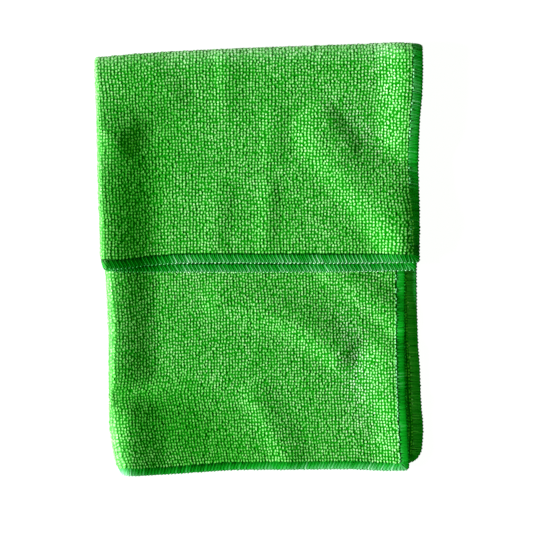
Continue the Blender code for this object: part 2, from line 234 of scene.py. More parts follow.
# ---------------------------------------------------------------- the cloth's own measure
WALE, COURSE = 2.03, 1.95  # between two pile loops, across the cloth and down it
GROUND_HALF = 0.62  # half the knitted ground's thickness under the pile
GROOVE_HALF = 0.30  # where the needle thread draws the edge in
EDGE_HALF = 0.52  # in the overlocked edge, under its threads
TABLE_Z = 0.015  # nothing reaches lower
BARE = {"front_side": 5.9, "back_side": 6.3, "bottom": 5.1, "flap_end": 5.9}  # how far in from each edge the pile begins
GROOVE_AT = {"front_side": 6.2, "back_side": 6.2, "bottom": 5.2, "flap_end": 5.8}  # and where its seam lies deepest


def rows_of_noise(seed, count, shortest, longest):
    """Waves for a smooth wandering field: directions, wavelengths and phases."""
    dice = np.random.default_rng(seed)
    turn = dice.uniform(0, 2 * np.pi, count)
    wave = 2 * np.pi / dice.uniform(shortest, longest, count)
    return wave * np.cos(turn), wave * np.sin(turn), dice.uniform(0, 2 * np.pi, count)


def wander(seed, a, b, shortest=22.0, longest=70.0, count=14):
    """A smooth field over the cloth, about -1 to 1."""
    fa, fb, phase = rows_of_noise(seed, count, shortest, longest)
    total = np.zeros(np.shape(a))
    for i in range(count):
        total = total + np.sin(a * fa[i] + b * fb[i] + phase[i])
    return total / math.sqrt(count)


def points_on(u, v, corners=True):
    x, y, z, thick = middle(u, v, corners)
    return np.stack([x, y, z], -1), thick


def surface(u, v):
    """Middle point, normal (up on the lower part), directions of growing u and v, and thickness."""
    step = 2e-3
    du = points_on(np.minimum(u + step, 3.0), v, False)[0] - points_on(np.maximum(u - step, 0.0), v, False)[0]
    dv = points_on(u, np.minimum(v + step, 3.0), False)[0] - points_on(u, np.maximum(v - step, 0.0), False)[0]
    normal = np.cross(dv, du)
    normal /= np.linalg.norm(normal, axis=-1, keepdims=True)
    down = dv / np.linalg.norm(dv, axis=-1, keepdims=True)
    across = np.cross(normal, down)
    mid, thick = points_on(u, v)
    return mid, normal, across, down, thick


def spread(u, v, side):
    """How far two wales, and two courses, lie apart at the pile's tips there, against their usual distance."""
    step = 2e-3
    probes = []
    for a, b in ((u - step, v), (u + step, v), (u, v - step), (u, v + step)):
        mid, normal, _, _, thick = surface(np.clip(a, 0, 3), np.clip(b, 0, 3))
        probes.append((mid, mid + normal * (side * 0.45 * thick)[..., None]))
    usual = np.interp(u + step, U_FINE, ACROSS_AT) - np.interp(u - step, U_FINE, ACROSS_AT)
    wide = np.linalg.norm(probes[1][1] - probes[0][1], axis=-1) / usual
    deep = np.linalg.norm(probes[3][1] - probes[2][1], axis=-1) / np.linalg.norm(probes[3][0] - probes[2][0], axis=-1)
    return np.clip(wide, 0.85, 2.2), np.clip(deep, 0.9, 1.6)


def run_of(points):
    """Distance along a line of points, or along each of several (the last axis but one)."""
    step = np.linalg.norm(np.diff(points, axis=-2), axis=-1)
    return np.concatenate([np.zeros(step.shape[:-1] + (1,)), np.cumsum(step, axis=-1)], -1)


U_FINE, V_FINE = np.linspace(0, 3, 1201), np.linspace(0, 3, 1001)
DOWN_PROBES = np.array([0.08, 0.25, 0.45, 0.65, 2.15, 2.4, 2.65, 2.85])
across_steps = [np.linalg.norm(np.diff(points_on(U_FINE, np.full(U_FINE.shape, probe))[0], axis=0), axis=-1) for probe in DOWN_PROBES]
ACROSS_AT = np.concatenate([[0.0], np.cumsum(np.percentile(across_steps, 70, axis=0))])  # mm across the cloth at each of U_FINE
CLOTH_WIDTH = ACROSS_AT[-1]


# ---------------------------------------------------------------- meshes from arrays
def new_mesh(name, points, triangles, smooth=True):
    """points in mm."""
    mesh = bpy.data.meshes.new(name)
    points = np.array(points, float)
    points[:, 2] = np.maximum(points[:, 2], TABLE_Z)
    mesh.vertices.add(len(points))
    mesh.vertices.foreach_set("co", (points * 0.001).astype(np.float32).ravel())
    mesh.loops.add(3 * len(triangles))
    mesh.loops.foreach_set("vertex_index", np.ascontiguousarray(triangles, dtype=np.int32).ravel())
    mesh.polygons.add(len(triangles))
    mesh.polygons.foreach_set("loop_start", np.arange(0, 3 * len(triangles), 3, dtype=np.int32))
    mesh.update(calc_edges=True)
    mesh.validate()
    if smooth:
        mesh.shade_smooth()
    piece = bpy.data.objects.new(name, mesh)
    bpy.context.scene.collection.objects.link(piece)
    return piece


def store(piece, name, values):
    """Keeps three numbers a vertex for the materials."""
    attribute = piece.data.attributes.new(name, "FLOAT_VECTOR", "POINT")
    attribute.data.foreach_set("vector", np.ascontiguousarray(values, dtype=np.float32).ravel())


def copies(shape_points, shape_triangles, count):
    """Triangles of count joined copies of a small shape."""
    offset = (np.arange(count) * len(shape_points))[:, None, None]
    return (np.array(shape_triangles)[None] + offset).reshape(-1, 3)


def ring_shape(sides, rings, tip=True):
    """A small closed form of rings (height, radius) round an axis, with a tip or a flat cap above and a flat cap below: unit points and triangles."""
    points, triangles = [], []
    for r, (height, radius, turn) in enumerate(rings):
        for i in range(sides):
            angle = 2 * math.pi * (i + turn) / sides
            points.append((math.cos(angle) * radius, math.sin(angle) * radius, height))
    for r in range(len(rings) - 1):
        for i in range(sides):
            a, b = r * sides + i, r * sides + (i + 1) % sides
            c, d = a + sides, b + sides
            triangles += [(a, b, d), (a, d, c)]
    for i in range(1, sides - 1):
        triangles.append((0, i + 1, i))
    last = (len(rings) - 1) * sides
    if tip:
        points.append((0.0, 0.0, 1.0))
        triangles += [(last + i, last + (i + 1) % sides, len(points) - 1) for i in range(sides)]
    else:
        triangles += [(last, last + i, last + i + 1) for i in range(1, sides - 1)]
    return np.array(points), np.array(triangles)


# ---------------------------------------------------------------- pile
WORN_AND_LIT = 0.55  # how much paler the folds are, partly wear and partly painted light, in the same measure as the patches
GRAIN = ring_shape(6, ((0.0, 1.0, 0.0), (0.70, 0.80, 0.2)))
PLAIN_GRAIN = ring_shape(4, ((0.0, 1.0, 0.0), (0.75, 0.72, 0.3)), tip=False)


# Patches of painted light and shade on the pile: paler where its folds face the light, darker where they lie in shade.
# Place, half length, half width in mm, turn in degrees, and how much paler.
PAINTED_LIGHT_AND_SHADE = (
    # x, y, along, across, turn, paler by
    (-78.0, 43.0, 42.0, 14.0, 85.0, -0.60),  # painted shade down the left of the flap
    (-50.0, -105.0, 40.0, 16.0, -30.0, -0.60),  # and at the bottom left
    (0.0, 133.0, 90.0, 7.0, 2.0, 0.40),  # painted light along the top
    (80.0, 115.0, 25.0, 12.0, -80.0, 0.25),  # and in its right corner
    (60.0, 85.0, 18.0, 8.0, -50.0, 0.45),  # on the slanting fold
    (60.0, -62.0, 20.0, 7.0, -80.0, 0.60),  # on the lower part's fold
    (72.0, -96.0, 35.0, 12.0, -80.0, 0.20),  # and at the lower right
)
PALER_PILE = np.array([1.0, 0.25, 1.3])  # how the painted light and shade change red, green and blue, so that shade is a deeper green


def sites(seed):
    """Where the pile's loops stand on one side of the sheet: u, v, the cloth's own measure across and down, and the place of each."""
    dice = np.random.default_rng(seed)
    piled = CLOTH_WIDTH - BARE["front_side"] - BARE["back_side"]
    wales = round(piled / WALE)
    found = []
    for k in range(wales):
        s = BARE["front_side"] + (k + 0.5) * piled / wales
        u = float(np.interp(s, ACROSS_AT, U_FINE))
        down = run_of(points_on(np.full(V_FINE.shape, u), V_FINE)[0])
        long = down[-1] - BARE["bottom"] - BARE["flap_end"]
        rows = round(long / COURSE)
        t = BARE["bottom"] + (np.arange(rows) + 0.5) * long / rows
        zigzag = 0.14 * (1 - 2 * (np.arange(len(t)) % 2)) * dice.uniform(0.0, 1.4)
        off_s = zigzag + dice.normal(0, 0.14, len(t)) + 0.40 * wander(seed + 1, s, t) + 0.16 * wander(seed + 3, s, t, 7.0, 18.0)
        off_t = dice.normal(0, 0.20, len(t)) + 0.35 * wander(seed + 2, s, t) + 0.20 * wander(seed + 4, s, t, 7.0, 18.0)
        off_t *= np.clip(np.minimum(t, down[-1] - t) / 8.0 - 0.4, 0.3, 1)  # the last courses follow the seam
        off_s *= min(max(min(s, CLOTH_WIDTH - s) / 8.0 - 0.4, 0.4), 1.0)
        # the flap's corner is worn, and its pile lies out over the stitching
        off_s += 3.0 * math.exp(-(CLOTH_WIDTH - BARE["back_side"] - s) / 12.0) * smooth((t - down[-1] + 48.0) / 22.0) * dice.uniform(0.7, 1.15, len(t))
        v = np.interp(t + off_t, down, V_FINE)
        uu = np.interp(s + off_s, ACROSS_AT, U_FINE)
        found.append(np.stack([uu, v, np.full(len(t), s), t], -1))
    found = np.concatenate(found)
    place, _ = points_on(found[:, 0], found[:, 1])
    return found, place


def pile(name, seed, side, at, grain, width=0.86, length=1.07, tall=1.0, wild=1.0, calm=0.85, pale=0.0):
    """Loops of the pile on one side of the sheet (side 1 is the outside of the fold). Each is one small leaning grain."""
    dice = np.random.default_rng(seed)
    count = len(at)
    mid, normal, across, down, thick = surface(at[:, 0], at[:, 1])
    normal = normal * side
    unit, triangles = grain
    wide, deep = spread(at[:, 0], at[:, 1], side)
    fuller = 1 + 0.22 * worn_and_lit_at(at[:, 0], at[:, 1])
    half_w = width * dice.uniform(0.84, 1.12, count) * wide * fuller
    half_l = length * dice.uniform(0.82, 1.14, count) * deep * fuller
    root = GROUND_HALF - 0.10
    reach = thick / 2 * tall * (1 + 0.16 * wild * dice.normal(0, 1, count).clip(-2, 2))
    turn = dice.normal(0, 0.27 * wild, count)
    lean_s, lean_t = dice.normal(0, 0.20 * wild, count), dice.normal(-0.1, 0.20 * wild, count)
    a = unit[None, :, 0] * half_w[:, None]
    b = unit[None, :, 1] * half_l[:, None]
    lift = np.clip(unit[None, :, 2], 0, 1) * np.ones((count, 1))
    a, b = a * np.cos(turn)[:, None] - b * np.sin(turn)[:, None], a * np.sin(turn)[:, None] + b * np.cos(turn)[:, None]
    a = a + lean_s[:, None] * lift**1.5
    b = b + lean_t[:, None] * lift**1.5
    n = root + (reach[:, None] - root) * lift + dice.normal(0, 0.03 * wild, lift.shape)
    points = mid[:, None] + across[:, None] * a[..., None] + down[:, None] * b[..., None] + normal[:, None] * n[..., None]
    if side > 0:
        triangles = triangles[:, ::-1]
    piece = new_mesh(name, points.reshape(-1, 3), copies(unit, triangles, count))
    tint = dice.normal(0, 1, count).clip(-2, 2)[:, None] * np.ones((1, unit.shape[0]))
    patch = 0.5 * wander(seed + 5, at[:, 2], at[:, 3], 12.0, 60.0) + 0.4 * wander(seed + 6, at[:, 2], at[:, 3] * 0.33, 4.5, 11.0)
    patch = (patch + pale)[:, None] * np.ones((1, unit.shape[0]))
    top = worn_and_lit_at(np.zeros(count), at[:, 1])[:, None]  # the top fold's fibres lie over, and catch the light from above
    lies = normal * (1 - 0.6 * top) + np.array([0.0, 0.0, 1.0]) * 0.6 * top
    calm_normals(piece, np.repeat(lies, unit.shape[0], axis=0), calm)
    # the folds are painted paler and more even: partly wear, partly painted light where they catch it
    worn_and_lit = worn_and_lit_at(at[:, 0], at[:, 1])[:, None] * np.ones((1, unit.shape[0]))
    lift = lift + (0.74 - lift) * 0.80 * worn_and_lit
    shade = painted_light_and_shade_at(mid)
    dull = np.clip(-0.24 * np.log(shade[:, 2:]), 0, 0.40)  # tips stand out less where the pile is painted in shade
    lift = lift + (0.62 - lift) * dull
    store(piece, "grain", np.stack([lift, (tint * 0.25) * (1 - 0.5 * worn_and_lit) + 0.5, patch * 0.25 + 0.5 + WORN_AND_LIT * worn_and_lit], -1).reshape(-1, 3))
    # the pile's painted light and shade, a little paler and bluer again on the folds that are painted light
    painted_light_shade = np.repeat(shade * (1 + worn_and_lit[:, :1] * np.array([0.06, -0.06, 0.12])), unit.shape[0], axis=0)
    store(piece, "painted_light_shade", painted_light_shade)
    grain_map(piece, unit, triangles, count)
    return piece


def painted_light_and_shade_at(place):
    """How the three colours change in the patches of painted light and shade."""
    tone = np.zeros(place.shape)
    for x, y, along, across, turn, paler_by in PAINTED_LIGHT_AND_SHADE:
        a, b = place[..., 0] - x, place[..., 1] - y
        c, d = math.cos(math.radians(turn)), math.sin(math.radians(turn))
        near = np.exp(-0.5 * (((a * c + b * d) / along) ** 2 + ((b * c - a * d) / across) ** 2))
        tone = tone + near[..., None] * paler_by * PALER_PILE
    return np.exp(tone)


def worn_and_lit_at(u, v):
    """How far the pile is made pale and even along the left fold, partly wear and partly painted light, and a little
    along the top one, where it is painted light.
    """
    left = np.sin(np.pi * np.clip((u - 0.97) / 1.06, 0, 1)) ** 0.8
    top = 1.0 * np.sin(np.pi * np.clip((v - 0.97) / 1.06, 0, 1)) ** 0.8
    return np.maximum(left, top)


def calm_normals(piece, lies, share):
    """Shades each grain partly as the cloth under it lies, because its fibres scatter light over their neighbours."""
    own = np.zeros(len(piece.data.vertices) * 3, np.float32)
    piece.data.vertex_normals.foreach_get("vector", own)
    mixed = own.reshape(-1, 3) * (1 - share) + lies * share
    mixed /= np.linalg.norm(mixed, axis=-1, keepdims=True)
    piece.data.normals_split_custom_set_from_vertices(mixed.tolist())


def grain_map(piece, unit, triangles, count):
    """A flat map with a cell for each grain, seen from its tip. The buried underside has a corner of the cell."""
    cells = math.ceil(math.sqrt(count))
    height, radius = unit[:, 2], np.hypot(unit[:, 0], unit[:, 1])
    flat = unit[:, :2] / np.maximum(radius, 1e-6)[:, None] * (0.44 * (1 - height * 0.75))[:, None]
    flat[radius < 1e-6] = 0
    corners = flat[triangles]
    sunk = (height[triangles] < 0.01).all(1)
    corners[sunk] = np.array([[-0.49, -0.49], [-0.46, -0.49], [-0.49, -0.46]])
    column, row = np.arange(count) % cells, np.arange(count) // cells
    where = (np.stack([column, row], -1)[:, None, None] + 0.5 + corners[None]) / cells
    layer = piece.data.uv_layers.new(name="OFBake")
    layer.uv.foreach_set("vector", where.astype(np.float32).ravel())


# ---------------------------------------------------------------- the knitted ground
def ground():
    """The sheet itself, both faces and rim, thin under the pile and a little thicker in the overlocked edge."""
    edge_steps = np.array([0.0, 0.9, 2.2, 3.6, 4.7, 5.2, 6.2])
    wide = CLOTH_WIDTH

    def stretched(length_at, fine, first, last, total):
        inner = np.arange(edge_steps[-1] * 1.2 + 3.2, total - edge_steps[-1] - 2.0, 3.4)
        at = np.concatenate([edge_steps * first / 5.2, inner, total - edge_steps[::-1] * last / 5.2])
        return at, np.interp(at, length_at, fine)

    s, u = stretched(ACROSS_AT, U_FINE, GROOVE_AT["front_side"], GROOVE_AT["back_side"], wide)
    loop = 1 + np.linspace(0, 1, 9)
    u = np.sort(np.concatenate([u[(u < 0.995) | (u > 2.005)], loop]))
    s = np.interp(u, U_FINE, ACROSS_AT)
    middle_run = run_of(points_on(np.full(V_FINE.shape, 2.5), V_FINE)[0])
    t, v = stretched(middle_run, V_FINE, GROOVE_AT["bottom"], GROOVE_AT["flap_end"], middle_run[-1])
    turn = 1 + np.linspace(0, 1, 11)
    v = np.sort(np.concatenate([v[(v < 0.995) | (v > 2.005)], turn]))
    t = np.interp(v, V_FINE, middle_run)
    uu, vv = np.meshgrid(u, v, indexing="ij")
    ss, tt = np.meshgrid(s, t, indexing="ij")
    mid, normal, across, down, thick = surface(uu, vv)
    edge = np.minimum(np.minimum(ss * 5.2 / GROOVE_AT["front_side"], (wide - ss) * 5.2 / GROOVE_AT["back_side"]),
                      np.minimum(tt * 5.2 / GROOVE_AT["bottom"], (middle_run[-1] - tt) * 5.2 / GROOVE_AT["flap_end"]))
    half = GROUND_HALF + (GROOVE_HALF - GROUND_HALF) * np.exp(-(((edge - 5.2) / 0.9) ** 2))
    half = np.where(edge < 5.0, GROOVE_HALF + (EDGE_HALF - GROOVE_HALF) * smooth((5.0 - edge) / 1.6), half)
    half = np.where(edge < 1.0, half * (0.72 + 0.28 * edge), half)
    over, under = mid + normal * half[..., None], mid - normal * half[..., None]
    rows, columns = uu.shape
    index = np.arange(rows * columns).reshape(rows, columns)
    a, b, c, d = index[:-1, :-1].ravel(), index[:-1, 1:].ravel(), index[1:, 1:].ravel(), index[1:, :-1].ravel()
    top = np.concatenate([np.stack([a, b, c], -1), np.stack([a, c, d], -1)])
    bottom = top[:, ::-1] + rows * columns
    ring = np.concatenate([index[:, 0], index[-1, 1:], index[-2::-1, -1], index[0, -2:0:-1]])
    after = np.roll(ring, -1)
    deep = rows * columns
    rim = np.concatenate([np.stack([ring, after, after + deep], -1), np.stack([ring, after + deep, ring + deep], -1)])
    piece = new_mesh("cloth_ground", np.concatenate([over.reshape(-1, 3), under.reshape(-1, 3)]), np.concatenate([top, bottom, rim]))
    measure = np.stack([ss, tt, edge], -1).reshape(-1, 3)
    store(piece, "cloth_mm", np.concatenate([measure, measure]))
    # paler on the folds: partly wear, partly painted light
    worn_and_lit = np.repeat(worn_and_lit_at(uu, vv).reshape(-1, 1), 3, axis=1)
    store(piece, "worn_and_lit", np.concatenate([worn_and_lit, worn_and_lit]))
    # the patches of painted light and shade, on the ground as on the pile
    painted_light_shade = painted_light_and_shade_at(mid).reshape(-1, 3)
    store(piece, "painted_light_shade", np.concatenate([painted_light_shade, painted_light_shade]))
    return piece


# ---------------------------------------------------------------- the overlocked edge
# The four edges. Leans are mm along the edge over its width, on the outside of the fold and on the inside. Pale is how pale the upper, under and
# needle threads and the beads are, from 0 to 1.
# The under threads are set darker than the upper ones, which paints the upper threads' shade on them.
EDGES = (
    # name, pitch, lean_out, lean_in, thread_width, inner_end, over_pale, under_pale, bead_pale, bead_size
    ("bottom", 2.10, 2.30, -2.30, 1.08, 5.0, 0.44, 0.38, 0.56, 0.86),
    ("flap_end", 2.50, 1.75, -1.75, 0.76, 5.4, 0.58, 0.36, 0.80, 0.80),
    ("front_side", 2.10, 0.45, 0.50, 0.84, 5.3, 0.33, 0.32, 0.16, 0.70),
    ("back_side", 2.10, 0.60, -0.40, 0.90, 6.4, 0.62, 0.58, 0.40, 0.80),
)
NEEDLES = {
    # pitch, in from the edge, up from its usual height, reach of a stitch, half width, half height, pale, share of stitches that show
    "bottom": (2.10, 5.1, -0.12, 0.80, 0.30, 0.24, 0.30, 1.0),
    "flap_end": (2.50, 5.65, -0.04, 1.06, 0.42, 0.28, -0.16, 1.0),
    # the flap's needle line lies at the upper layer's edge and is dark: painted shadow under that edge
    "front_side": (2.20, 5.65, 0.38, 0.62, 0.44, 0.34, 0.72, 1.0),
    "back_side": (2.30, 5.7, 0.26, 0.50, 0.60, 0.34, 0.88, 0.32),
}
# Painted light and shade on the outside's threads along each edge: how much paler they are by place, paler where the
# left fold's loops catch the light and darker where an edge lies in a fold's shade
PALER = {
    "bottom": ((-92.0, 0.34), (-84.0, 0.28), (-77.0, 0.04), (-68.0, -0.16), (-20.0, -0.15), (10.0, -0.02), (40.0, 0.07), (95.0, 0.11)),  # x
    "flap_end": ((-100.0, -0.32), (-74.0, -0.38), (-60.0, -0.18), (-46.0, 0.0), (90.0, 0.0), (97.0, -0.22), (103.0, -0.30)),  # x
    "front_side": ((-134.0, 0.06), (0.0, 0.0)),  # y
    "back_side": ((-10.0, -0.40), (6.0, -0.36), (20.0, -0.19), (60.0, -0.19), (85.0, -0.13), (110.0, -0.09), (125.0, -0.16)),  # y
}


def edge_place(name, along_u, width):
    """Station (u, v) at a distance in from an edge, where along_u is the station along it."""
    if name in ("bottom", "flap_end"):
        u = along_u
        full = np.abs(points_on(u, np.full(u.shape, 0.02), False)[0][..., 1] - points_on(u, np.full(u.shape, 0.12), False)[0][..., 1]) * 10
        short = np.abs(points_on(u, np.full(u.shape, 2.98), False)[0][..., 1] - points_on(u, np.full(u.shape, 2.88), False)[0][..., 1]) * 10
        return u, (width / full if name == "bottom" else 3 - width / short)
    v = along_u
    one, two = (0.02, 0.12) if name == "front_side" else (2.98, 2.88)
    full = np.linalg.norm(points_on(np.full(v.shape, one), v, False)[0] - points_on(np.full(v.shape, two), v, False)[0], axis=-1) * 10
    return (width / full if name == "front_side" else 3 - width / full), v


def edge_runs(name):
    """Distance along an edge at fine stations."""
    fine = U_FINE if name in ("bottom", "flap_end") else V_FINE
    fixed = np.full(fine.shape, {"bottom": 0.0, "flap_end": 3.0, "front_side": 0.0, "back_side": 3.0}[name])
    line = points_on(fine, fixed)[0] if name in ("bottom", "flap_end") else points_on(fixed, fine)[0]
    return run_of(line), fine


def strands(name, start, end, widths, heights_at, side, wide, tall, sides=5):
    """Flat threads across an edge. start and end are mm along the edge at the needle line and at the outer edge, one of each a thread."""
    runs, fine = edge_runs(name)
    widths, heights_at = np.array(widths), np.array(heights_at)
    share = (widths[0] - widths) / (widths[0] - widths[-1])
    at = start[:, None] + (end - start)[:, None] * smooth(share)[None]
    at = np.clip(at, 0.15, runs[-1] - 0.15)
    station = np.interp(at, runs, fine)
    u, v = edge_place(name, station, np.broadcast_to(np.maximum(widths, 0.0), station.shape))
    mid, normal, across, down, _ = surface(u, v)
    outward = {"bottom": -down, "flap_end": down, "front_side": -across, "back_side": across}[name]
    line = mid + normal * (side * heights_at)[None, :, None] + outward * np.maximum(-widths, 0.0)[None, :, None]
    along_line = np.gradient(line, axis=1)
    along_line /= np.linalg.norm(along_line, axis=-1, keepdims=True)
    up = normal * side
    aside = np.cross(along_line, up)
    aside /= np.linalg.norm(aside, axis=-1, keepdims=True)
    up = np.cross(aside, along_line)
    count, rings = at.shape
    taper = np.ones(rings)
    taper[0] = 0.6
    turn = 2 * np.pi * np.arange(sides) / sides
    wide, tall = np.broadcast_to(wide, (count,)), np.broadcast_to(tall, (count,))
    ring_a = (np.cos(turn)[None, None, :] * wide[:, None, None] / 2 * taper[None, :, None])[..., None]
    ring_n = (np.sin(turn)[None, None, :] * tall[:, None, None] / 2 * taper[None, :, None])[..., None]
    points = line[:, :, None] + aside[:, :, None] * ring_a + up[:, :, None] * ring_n
    triangles = []
    for r in range(rings - 1):
        for i in range(sides):
            a, b = r * sides + i, r * sides + (i + 1) % sides
            triangles += [(a, a + sides, b + sides), (a, b + sides, b)]
    triangles += [(0, i, i + 1) for i in range(1, sides - 1)]
    last = (rings - 1) * sides
    triangles += [(last, last + i + 1, last + i) for i in range(1, sides - 1)]
    if name in ("front_side", "back_side"):
        share = 0.75 - 0.6 * share  # on the sides the threads are paler at the seam and darker outward: painted shade where the edge rolls down away from the light
    lengthwise = np.broadcast_to(share[None, :, None], (count, rings, sides))
    lies = np.broadcast_to((normal * side if name in ("front_side", "back_side") else up)[:, :, None], points.shape)
    return points.reshape(count, -1, 3), np.array(triangles), lengthwise.reshape(count, -1), lies.reshape(count, -1, 3)


def narrower(name, side):
    """The flap's end is stitched a little narrower on the inside of the fold."""
    return 0.7 if name == "flap_end" and side < 0 else 0.0


def needle(name, side, seed):
    """The needle thread's short stitches along the inner side of the edge."""
    pitch, inward, up_by, reach_share, half_wide, half_tall, _, shown = NEEDLES[name]
    inward -= narrower(name, side)
    dice = np.random.default_rng(seed)
    runs, fine = edge_runs(name)
    count = int((runs[-1] - 2 * HEM_W) / pitch)
    starts = HEM_W + (np.arange(count) + 0.12) * pitch
    starts = starts[dice.uniform(0, 1, count) + 0.35 * wander(seed, starts, 0 * starts, 14.0, 50.0) < shown + 0.02]
    count = len(starts)
    share = np.array([0.0, 0.22, 0.5, 0.78, 1.0])
    sink = np.array([0.10, 0.46, 0.56, 0.46, 0.10])
    reach = reach_share * pitch * dice.uniform(0.75, 1.15, (count, 1))
    at = starts[:, None] + share[None] * reach + dice.normal(0, 0.05 if up_by < 0 else 0.22, (count, 1))
    station = np.interp(at, runs, fine)
    u, v = edge_place(name, station, inward + dice.normal(0, 0.10, (count, 1)) + np.zeros(station.shape))
    mid, normal, across, down, _ = surface(u, v)
    line = mid + normal * (side * (sink + 0.05 + up_by))[None, :, None]
    along_line = np.gradient(line, axis=1)
    along_line /= np.linalg.norm(along_line, axis=-1, keepdims=True)
    aside = np.cross(along_line, normal * side)
    aside /= np.linalg.norm(aside, axis=-1, keepdims=True)
    up = np.cross(aside, along_line)
    turn = 2 * np.pi * np.arange(4) / 4
    points = line[:, :, None] + aside[:, :, None] * (np.cos(turn) * half_wide)[None, None, :, None] + up[:, :, None] * (np.sin(turn) * half_tall)[None, None, :, None]
    triangles = []
    for r in range(4):
        for i in range(4):
            a, b = r * 4 + i, r * 4 + (i + 1) % 4
            triangles += [(a, a + 4, b + 4), (a, b + 4, b)]
    triangles += [(0, 1, 2), (0, 2, 3), (16, 18, 17), (16, 19, 18)]
    points = points.reshape(count, -1, 3)
    return points, np.array(triangles), np.full((count, 20), 0.6), np.zeros(points.shape)


def beads(name, pitch, seed, big):
    """The loopers' interlocking along the outer edge, one bead a stitch."""
    dice = np.random.default_rng(seed)
    runs, fine = edge_runs(name)
    count = int(runs[-1] / pitch)
    at = (np.arange(count) + 0.5) * runs[-1] / count
    station = np.interp(at, runs, fine)
    u, v = edge_place(name, station, np.zeros(station.shape))
    mid, normal, across, down, _ = surface(u, v)
    outward = {"bottom": -down, "flap_end": down, "front_side": -across, "back_side": across}[name]
    lengthwise = np.cross(outward, normal)
    unit, triangles = ring_shape(6, ((0.0, 0.75, 0.0), (0.35, 1.0, 0.3), (0.8, 0.7, 0.6)))
    out = 0.10 + dice.normal(0, 0.07, count)
    size = dice.uniform(0.85, 1.15, count)
    a = unit[None, :, 0] * 0.80 * big * size[:, None]
    b = unit[None, :, 1] * 0.60 * big * size[:, None]
    n = -0.35 + unit[None, :, 2] * 1.30 * big * size[:, None]
    points = mid[:, None] + lengthwise[:, None] * a[..., None] + outward[:, None] * (b + out[:, None])[..., None] + normal[:, None] * (n * 0.85 + 0.08)[..., None]
    return points, triangles, np.full((count, len(unit)), 0.9), np.zeros(points.shape)


def sewn(name, parts):
    """Joins many like shapes into one piece. Each part has its shapes, their triangles, how far along the thread each point is, which way the edge
    faces there, and how pale it is."""
    points, triangles, marks, lie, offset = [], [], [], [], 0
    for number, (shape_points, shape_triangles, lengthwise, lies, pale) in enumerate(parts):
        count, corners = shape_points.shape[:2]
        points.append(shape_points.reshape(-1, 3))
        lie.append(lies.reshape(-1, 3))
        triangles.append(copies(np.zeros((corners, 3)), shape_triangles, count) + offset)
        dice = np.random.default_rng(900 + number + len(name))
        tint = np.repeat(dice.normal(0.5, 0.2, count).clip(0, 1), corners)
        marks.append(np.stack([lengthwise.reshape(-1), tint, np.repeat(np.broadcast_to(pale, (count,)), corners)], -1))
        offset += count * corners
    piece = new_mesh(name, np.concatenate(points), np.concatenate(triangles))
    calm_normals(piece, np.concatenate(lie), 0.55 if name == "flap_end" else 0.70)
    store(piece, "thread", np.concatenate(marks))
    return piece


def paler(name, shapes, pale):
    """Paleness of each thread on the outside, with the painted light and shade that varies along the edge."""
    rows = np.array(PALER[name])
    place = shapes[0].mean(axis=1)[:, 0 if name in ("bottom", "flap_end") else 1]
    return np.maximum(pale + np.interp(place, rows[:, 0], rows[:, 1]), np.minimum(pale, 0.2))


def overlock(number, name, pitch, lean_out, lean_in, wide, inner_end, over_pale, under_pale, bead_pale, bead_size):
    """The stitching along one edge."""
    dice = np.random.default_rng(300 + number)
    runs, _ = edge_runs(name)
    count = int(runs[-1] / pitch)
    at = (np.arange(count) + 0.5) * runs[-1] / count
    inner = np.clip(at, HEM_W, runs[-1] - HEM_W)
    sunk = {"flap_end": 0.18, "bottom": 0.08}.get(name, 0.12)
    rise = [0.15, 0.54, 0.68, 0.70, 0.60, 0.15]
    parts = []
    for side, lean in ((1, lean_out), (-1, lean_in)):
        widths = [(inner_end - narrower(name, side)) * share for share in (1.0, 0.92, 0.69, 0.38, 0.13)] + [-0.05]
        fade = np.clip(np.minimum(at, runs[-1] - at) / (2 * HEM_W), 0, 1)
        jitter = dice.normal(0, 0.10, (4, count))
        first = strands(name, inner - lean * 0.5 * fade + jitter[0], at + lean * 0.5 * fade + jitter[1], widths, rise, side,
                        wide * dice.uniform(0.80, 1.20, count), 0.56)
        second = strands(name, inner + pitch * 0.5 - lean * 0.42 * fade + jitter[2], at + pitch * 0.5 + lean * 0.42 * fade + jitter[3],
                         widths, [h - sunk for h in rise], side, wide * 1.15 * dice.uniform(0.9, 1.1, count), 0.40)
        shape = needle(name, side, 500 + number * 2 + side)
        uneven = 0.05 * wander(800 + number, at, 0 * at, 6.0, 30.0)  # stitches stand out more in some places than in others
        pales = (over_pale + dice.normal(0, 0.07, count) + uneven, under_pale, NEEDLES[name][6])
        if side > 0 or name == "flap_end":
            pales = tuple(paler(name, part, pale) for part, pale in zip((first, second, shape), pales))
        parts += [(*part, pale) for part, pale in zip((first, second, shape), pales)]
    rim = beads(name, pitch, 700 + number, bead_size)
    parts.append((*rim, paler(name, rim, bead_pale)))
    return sewn("overlock_" + name, parts)


# ---------------------------------------------------------------- materials
def node_material(name):
    material = bpy.data.materials.new(name)
    material.use_nodes = True
    nodes, links = material.node_tree.nodes, material.node_tree.links
    return material, nodes, links, nodes["Principled BSDF"]


def ramp(nodes, stops):
    node = nodes.new("ShaderNodeValToRGB")
    elements = node.color_ramp.elements
    while len(elements) < len(stops):
        elements.new(0.5)
    for element, (place, colour) in zip(elements, stops):
        element.position = place
        element.color = (*colour, 1.0)
    return node


def with_painted_light_and_shade(nodes, links, colour):
    """The colour, with the painted light and shade of the patches multiplied in."""
    painted_light_shade = nodes.new("ShaderNodeAttribute")
    painted_light_shade.attribute_name = "painted_light_shade"
    product = nodes.new("ShaderNodeMix")
    product.data_type = "RGBA"
    product.blend_type = "MULTIPLY"
    product.clamp_result = True
    product.inputs[0].default_value = 1.0
    links.new(colour, product.inputs[6])
    links.new(painted_light_shade.outputs["Color"], product.inputs[7])
    return product.outputs[2]


